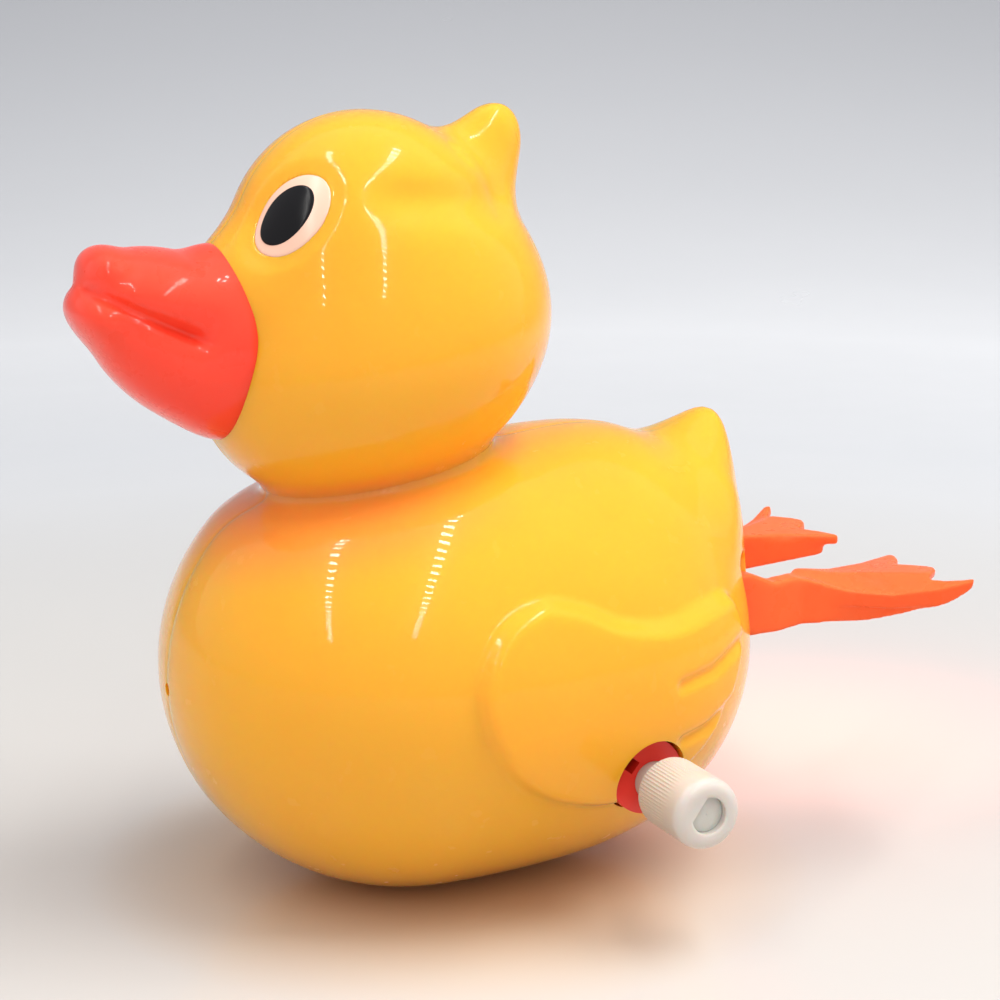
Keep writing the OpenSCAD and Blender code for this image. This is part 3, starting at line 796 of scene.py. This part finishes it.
def ramp(mat, value, stops, interpolation="LINEAR"):
    """A colour ramp over 0 to 1 from (place, colour) stops."""
    node = mat.node_tree.nodes.new("ShaderNodeValToRGB")
    node.color_ramp.interpolation = interpolation
    for k, (at, tone) in enumerate(stops):
        stop = node.color_ramp.elements[k] if k < 2 else node.color_ramp.elements.new(at)
        stop.position, stop.color = at, (*tone, 1)
    wire(mat, node, {"Fac": value})
    return node.outputs["Color"]


def surface(mat):
    return mat.node_tree.nodes["Principled BSDF"]


def base_colour(mat):
    """The socket that feeds the base colour."""
    return surface(mat).inputs["Base Color"].links[0].from_socket


def finish_material(name, tones, rough, grain=(900, 0.02), drift=55, shader=()):
    """A moulded or worked surface. Its colour drifts slowly between two tones, fine noise moves
    the roughness between two values, and grain (noise scale per metre, height in mm) is bump."""
    mat = bpy.data.materials.new(name)
    mat.use_nodes = True
    place = object_place(mat)

    def noise(scale, detail):
        return add_node(mat, "TexNoise", {"Vector": place, "Scale": scale, "Detail": detail}, "Fac")

    def waver(scale, detail, low, high):
        return spread(mat, noise(scale, detail), 0.3, 0.7, low, high)

    wire(mat, surface(mat), {
        "Base Color": blend(mat, waver(drift, 2, 0, 1), (*tones[0], 1), (*tones[1], 1)),
        "Roughness": waver(drift * 6, 4, *rough),
        "Normal": add_node(mat, "Bump", {"Distance": grain[1] * MM, "Height": noise(grain[0], 3)},
                           "Normal"),
        **dict(shader)})
    return mat


def wear_specks(mat, colour, scale, size):
    """A few tiny specks, as on any handled moulding."""
    cell = add_node(mat, "TexVoronoi", {"Vector": object_place(mat), "Scale": scale}, "Distance")
    speck = spread(mat, cell, size, size * 0.5)
    wire(mat, surface(mat), {"Base Color": blend(mat, speck, base_colour(mat), (*colour, 1))})


def paint_neck_shade(mat, colour, most):
    """Painted shade: a deeper orange painted into the colour in the hollow under the chin
    stands in for its shade and bounce light. The tint lies along the neck's plane and is gone
    at the nape."""
    place = add_node(mat, "VectorMath", {0: object_place(mat), 1: [v * MM for v in NECK_AT]},
                     "Vector", operation="SUBTRACT")
    upright = (math.sin(NECK_LEAN), 0, math.cos(NECK_LEAN))
    height = add_node(mat, "VectorMath", {0: place, 1: upright}, "Value", operation="DOT_PRODUCT")
    band = ramp(mat, spread(mat, height, -0.01, 0.01),
                [(at, (v, v, v)) for at, v in ((0.1, 0), (0.46, most), (0.52, most), (0.65, 0))],
                "EASE")
    forward = add_node(mat, "SeparateXYZ", {"Vector": place}, "X")
    share = calculate(mat, "MULTIPLY", band, spread(mat, forward, -0.012, 0.004))
    wire(mat, surface(mat), {"Base Color": blend(mat, share, base_colour(mat), (*colour, 1))})


def polish_above(mat, low, high, most, lighter):
    """A clear polish that comes in between two heights: full on the beak, none on the feet,
    which are given a lighter orange."""
    height = add_node(mat, "SeparateXYZ", {"Vector": object_place(mat)}, "Z")
    polish = spread(mat, height, low, high, 0, most)
    feet_tone = blend(mat, 1, base_colour(mat), (*lighter, 1), "MULTIPLY")
    share = calculate(mat, "DIVIDE", polish, most)
    wire(mat, surface(mat), {"Coat Weight": polish,
                             "Base Color": blend(mat, share, feet_tone, base_colour(mat))})


YELLOW = finish_material(
    "yellow_shell", ((0.96, 0.375, 0.02), (0.94, 0.39, 0.022)), (0.2, 0.28), (260, 0.006),
    shader={"Subsurface Weight": 0.5, "Subsurface Scale": 0.006, "Coat Weight": 0.9,
            "Coat Roughness": 0.01, "Coat IOR": 1.33, "Specular IOR Level": 0.08})
wear_specks(YELLOW, (0.7, 0.28, 0.01), 45, 0.012)
# painted shade and bounce light in the hollow under the chin
paint_neck_shade(YELLOW, (0.98, 0.24, 0.05), 0.75)
ORANGE = finish_material(
    "orange_plastic", ((0.94, 0.055, 0.026), (0.95, 0.065, 0.028)), (0.24, 0.34), (420, 0.01),
    shader={"Subsurface Weight": 0.3, "Subsurface Scale": 0.003, "Coat Roughness": 0.05,
            "Coat IOR": 1.4, "Specular IOR Level": 0.1})
polish_above(ORANGE, 0.045, 0.06, 0.6, (1, 2.167, 1.296))
EYE_WHITE = finish_material(
    "eye_white", ((0.82, 0.53, 0.39), (0.8, 0.5, 0.37)), (0.18, 0.28), (700, 0.01))
EYE_BLACK = finish_material(
    "eye_black", ((0.006, 0.006, 0.007), (0.009, 0.008, 0.009)), (0.12, 0.2), (500, 0.004),
    shader={"Specular IOR Level": 0.15})
KEY_WHITE = finish_material(
    "key_white", ((0.6, 0.555, 0.5), (0.57, 0.525, 0.47)), (0.3, 0.42), (1600, 0.015),
    shader={"Subsurface Weight": 0.4, "Subsurface Scale": 0.003, "Coat Weight": 0.3,
            "Coat Roughness": 0.15})
CASE_RED = finish_material(
    "case_red", ((0.8, 0.035, 0.022), (0.74, 0.03, 0.018)), (0.28, 0.4), (1500, 0.02))
ACETAL = finish_material(
    "gear_plastic", ((0.82, 0.76, 0.6), (0.78, 0.71, 0.55)), (0.3, 0.42), (2000, 0.015))
METAL = {"Metallic": 1.0}
STEEL = finish_material(
    "steel", ((0.58, 0.58, 0.6), (0.48, 0.48, 0.5)), (0.22, 0.38), (3000, 0.01), shader=METAL)
SPRING = finish_material(
    "spring_steel", ((0.2, 0.23, 0.32), (0.12, 0.14, 0.2)), (0.25, 0.4), (2500, 0.01), shader=METAL)
BRASS = finish_material(
    "brass", ((0.78, 0.55, 0.2), (0.68, 0.46, 0.16)), (0.22, 0.4), (2500, 0.01), shader=METAL)
SLOT_FINISH = {"yellow_shell": YELLOW, "orange_plastic": ORANGE, "eye_white": EYE_WHITE,
               "eye_black": EYE_BLACK, "key_white": KEY_WHITE, "case_red": CASE_RED,
               "gear_plastic": ACETAL, "steel": STEEL, "spring_steel": SPRING, "brass": BRASS}


def dress(obj, mat):
    """One material on the whole of an object."""
    obj.data.materials.clear()
    obj.data.materials.append(mat)
    for face in obj.data.polygons:
        face.material_index = 0


# The pieces made here and the CAD pieces that stay in view wear the finish of their slot
for obj in bpy.data.objects:
    if obj.type == "MESH" and obj.get("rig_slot"):
        dress(obj, SLOT_FINISH[obj["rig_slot"]])
slot_of_node = {part["node"]: part["material_slot"] for part in frame["record"]["subparts"]}
for node, obj in frame["nodes"].items():
    if not obj.hide_render:
        dress(obj, SLOT_FINISH[slot_of_node[node]])


# ---- studio ---------------------------------------------------------------------
# The camera stands ahead of a square view of the left side, a little above the table
VIEW_AZIMUTH = math.radians(24)
VIEW_HEIGHT = math.radians(11.5)
VIEW_DISTANCE = 0.275
VIEW_TARGET = Vector((-9.4, -5.8, 44.0)) * MM
LENS = 79.2


def toward_camera(height=VIEW_HEIGHT):
    """The direction from the duck toward the camera, or at another angle over the table."""
    level = math.cos(height)
    return Vector((math.sin(VIEW_AZIMUTH) * level, math.cos(VIEW_AZIMUTH) * level,
                   math.sin(height)))


def add_camera():
    data = bpy.data.cameras.new("camera")
    data.lens = LENS
    data.clip_start, data.clip_end = 0.01, 20
    camera = link_new("camera", data)
    camera.location = VIEW_TARGET + toward_camera() * VIEW_DISTANCE
    camera.rotation_euler = (-toward_camera()).to_track_quat("-Z", "Y").to_euler()
    bpy.context.scene.camera = camera


def paper_material():
    """Satin paper with painted light: painted warm bounce light under the duck, and a painted pool
    of light that is lightest a little way behind it.
    """
    mat = finish_material("paper", ((0.55, 0.53, 0.505), (0.535, 0.515, 0.49)), (0.2, 0.28),
                          (700, 0.004), drift=1.2, shader={"Specular IOR Level": 0.5})
    reach = add_node(mat, "VectorMath", {0: object_place(mat)}, "Value", operation="LENGTH")
    # painted bounce light: the floor is painted warm close under the duck
    under = blend(mat, spread(mat, reach, 0.045, 0.012), base_colour(mat), (0.6, 0.42, 0.24, 1))
    # painted light falloff over the floor and wall, lightest about half a metre out; the ramp runs
    # over two metres
    far = ramp(mat, calculate(mat, "MULTIPLY", reach, 0.5), [
        (0.06, (0.56, 0.55, 0.54)), (0.15, (0.64, 0.645, 0.66)), (0.25, (0.82, 0.82, 0.83)),
        (0.4, (0.67, 0.67, 0.685)), (0.55, (0.5, 0.5, 0.52)), (0.8, (0.38, 0.38, 0.4))])
    paper = blend(mat, spread(mat, reach, 0.08, 0.25), under, far)
    wire(mat, surface(mat), {"Base Color": paper})
    return mat


def add_sweep():
    """Pale floor that curves up into a wall behind the duck."""
    back = -toward_camera(height=0)
    right = Vector((-back.y, back.x, 0))
    near, bend, wall_at, wall_top, half_width = -3.0, 1.3, 1.7, 2.6, 3.0
    turn = np.linspace(0, math.pi / 2, 33)
    curve = [(wall_at - bend + bend * math.sin(t), bend - bend * math.cos(t)) for t in turn]
    profile = [(near, 0.0), *curve, (wall_at, wall_top)]
    verts = [(back * d + right * s * half_width + Vector((0, 0, z))) / MM
             for d, z in profile for s in (-1, 1)]
    faces = [[2 * i, 2 * i + 1, 2 * i + 3, 2 * i + 2] for i in range(len(profile) - 1)]
    sweep = new_object("sweep", verts, faces)
    dress(sweep, paper_material())


def glow(name, colour, strength):
    """A material that only gives light."""
    mat = bpy.data.materials.new(name)
    mat.use_nodes = True
    mat.node_tree.nodes.remove(surface(mat))
    light = add_node(mat, "Emission", {"Color": (*colour, 1), "Strength": strength}, "Emission")
    wire(mat, mat.node_tree.nodes["Material Output"], {"Surface": light})
    return mat


def add_lamp_row(name, start, end, chips=24, length=0.014, width=0.036, strength=40):
    """A ceiling bar of small oblong lamps set across it, facing down."""
    a, b = Vector(start), Vector(end)
    along = (b - a).normalized()
    across = along.cross(Vector((0, 0, 1))).normalized()
    verts, faces = [], []
    for i in range(chips):
        c = a.lerp(b, i / (chips - 1))
        first = len(verts)
        for u, v in ((-1, -1), (1, -1), (1, 1), (-1, 1)):
            verts.append((c + along * u * length / 2 + across * v * width / 2) / MM)
        faces.append([first + k for k in range(4)])
    row = new_object(name, verts, faces)
    dress(row, glow(name, (1.0, 0.98, 0.94), strength))


def add_area(name, place, size, power, aim, colour=(1, 1, 1)):
    data = bpy.data.lights.new(name, "AREA")
    data.shape = "RECTANGLE"
    data.size, data.size_y = size
    data.energy = power
    data.color = colour
    lamp = link_new(name, data)
    lamp.location = place
    lamp.rotation_euler = (Vector(aim) - Vector(place)).to_track_quat("-Z", "Y").to_euler()
    lamp.visible_glossy = False


def add_world(strength):
    world = bpy.data.worlds.new("studio")
    world.use_nodes = True
    sky = world.node_tree.nodes["Background"]
    sky.inputs["Color"].default_value = (0.95, 0.97, 1.0, 1)
    sky.inputs["Strength"].default_value = strength
    bpy.context.scene.world = world


add_camera()
add_sweep()
add_world(0.82)
add_area("ceiling", (-0.34, 0.15, 0.75), (0.6, 0.6), 6.6, aim=(0, 0, 0.03))
add_area("fill", (0.33, 0.5, 0.07), (0.5, 0.12), 0.15, aim=(0.01, 0, 0.03))
add_area("foot_glow", (-0.066, -0.03, 0.022), (0.05, 0.05), 0.02, aim=(-0.067, -0.032, 0),
         colour=(1, 0.2, 0.1))
add_lamp_row("lamp_row_near", (0.14, -0.08, 0.5), (0.9, 0.58, 0.5))
add_lamp_row("lamp_row_far", (-0.15, 0.0, 0.5), (0.25, 0.85, 0.5))
bpy.context.scene.view_settings.view_transform = "Standard"
